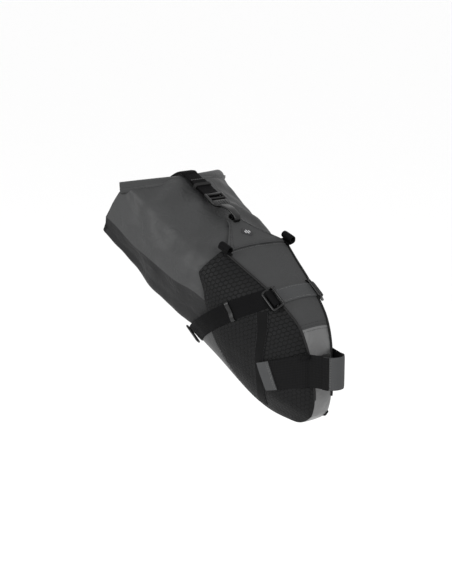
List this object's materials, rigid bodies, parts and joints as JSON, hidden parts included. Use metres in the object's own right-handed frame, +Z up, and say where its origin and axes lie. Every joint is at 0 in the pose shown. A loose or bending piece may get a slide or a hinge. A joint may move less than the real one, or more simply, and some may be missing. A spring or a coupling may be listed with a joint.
{
  "type": "saddle bag",
  "caption": "Holster-style seat bag with a removable roll-top dry bag, hung from a seatpost strap and two saddle-rail straps.",
  "frame": {"origin": "on the seatpost's centre line, at the middle of the seatpost strap's height", "axes": "+Z up along the seatpost, +X to the front of the bicycle, +Y to the left; the bag climbs away behind the post at 36 degrees"},
  "size_m": [0.4064, 0.197, 0.3121],
  "materials": {
    "woven_nylon": "matte",
    "smooth_nylon": "satin",
    "embossed_nylon": "matte",
    "reinforcement": "matte",
    "piping": "satin",
    "webbing": "matte",
    "grey_webbing": "matte",
    "hook_and_loop": "matte",
    "elastic": "matte",
    "buckle_plastic": "gloss",
    "stiffener_sheet": "matte",
    "badge": "matte",
    "grip_rubber": "matte",
    "coated_nylon": "satin",
    "coated_nylon_dark": "satin"
  },
  "bodies": {
    "holster": {"holster_top_panel": "woven_nylon", "tongue": "woven_nylon", "holster_nose_band": "smooth_nylon", "holster_bottom_panel": "smooth_nylon", "holster_side_panel_left": "embossed_nylon", "holster_side_panel_right": "embossed_nylon", "side_reinforcement_left": "reinforcement", "side_reinforcement_right": "reinforcement", "piping_left": "piping", "piping_right": "piping", "bottom_web": "webbing", "light_loop": "webbing", "tongue_loop": "webbing", "seatpost_strap_anchor": "webbing", "compression_strap_left": "webbing", "compression_strap_right": "webbing", "rail_strap_left": "webbing", "rail_strap_right": "webbing", "cross_band": "grey_webbing", "seatpost_strap_outer": "grey_webbing", "seatpost_strap_inner": "hook_and_loop", "bottom_ring_left": "buckle_plastic", "bottom_ring_right": "buckle_plastic", "strap_keeper_left": "buckle_plastic", "strap_keeper_right": "buckle_plastic", "nose_stiffener": "stiffener_sheet", "badge_patch": "badge", "seatpost_pad": "grip_rubber"},
    "dry_bag": {"drybag_upper_shell": "coated_nylon", "drybag_lower_shell": "coated_nylon_dark", "mouth_roll": "coated_nylon", "roll_stiffener": "stiffener_sheet", "rear_strap": "webbing"},
    "tail_strap": {"tail_strap_web": "webbing", "tail_strap_end": "webbing", "tail_strap_keeper": "elastic", "tail_hook": "buckle_plastic"},
    "post_flap": {"seatpost_strap_flap": "hook_and_loop", "seatpost_grip_tab": "grey_webbing"},
    "lock_left": {"ladder_lock_left": "buckle_plastic", "lock_webbing_left": "webbing"},
    "lock_right": {"ladder_lock_right": "buckle_plastic", "lock_webbing_right": "webbing"},
    "rail_flap_left": {"rail_flap_left": "webbing"},
    "rail_flap_right": {"rail_flap_right": "webbing"}
  },
  "joints": [
    {"name": "dry_bag_slide", "type": "slide", "parent": "holster", "child": "dry_bag", "axis": [-0.809, 0, 0.5878], "range_m": [0, 0.26]},
    {"name": "tail_strap_swing", "type": "hinge", "parent": "dry_bag", "child": "tail_strap", "pos_m": [-0.29456, 0, 0.22575], "axis": [0, -1, 0], "range_deg": [0, 140]},
    {"name": "post_flap_open", "type": "hinge", "parent": "holster", "child": "post_flap", "pos_m": [0, -0.0172, 0], "axis": [0, 0, 1], "range_deg": [0, 100]},
    {"name": "lock_left_tilt", "type": "hinge", "parent": "holster", "child": "lock_left", "pos_m": [-0.06878, 0.03581, 0.09758], "axis": [0.809, 0, -0.5878], "range_deg": [0, 35]},
    {"name": "lock_right_tilt", "type": "hinge", "parent": "holster", "child": "lock_right", "pos_m": [-0.06878, -0.03581, 0.09758], "axis": [-0.809, 0, 0.5878], "range_deg": [0, 35]},
    {"name": "rail_left_open", "type": "hinge", "parent": "holster", "child": "rail_flap_left", "pos_m": [-0.14963, 0.0628, 0.14974], "axis": [-0.9563, 0, 0.2924], "range_deg": [0, 130]},
    {"name": "rail_right_open", "type": "hinge", "parent": "holster", "child": "rail_flap_right", "pos_m": [-0.14963, -0.0628, 0.14974], "axis": [0.9563, 0, -0.2924], "range_deg": [0, 130]}
  ]
}
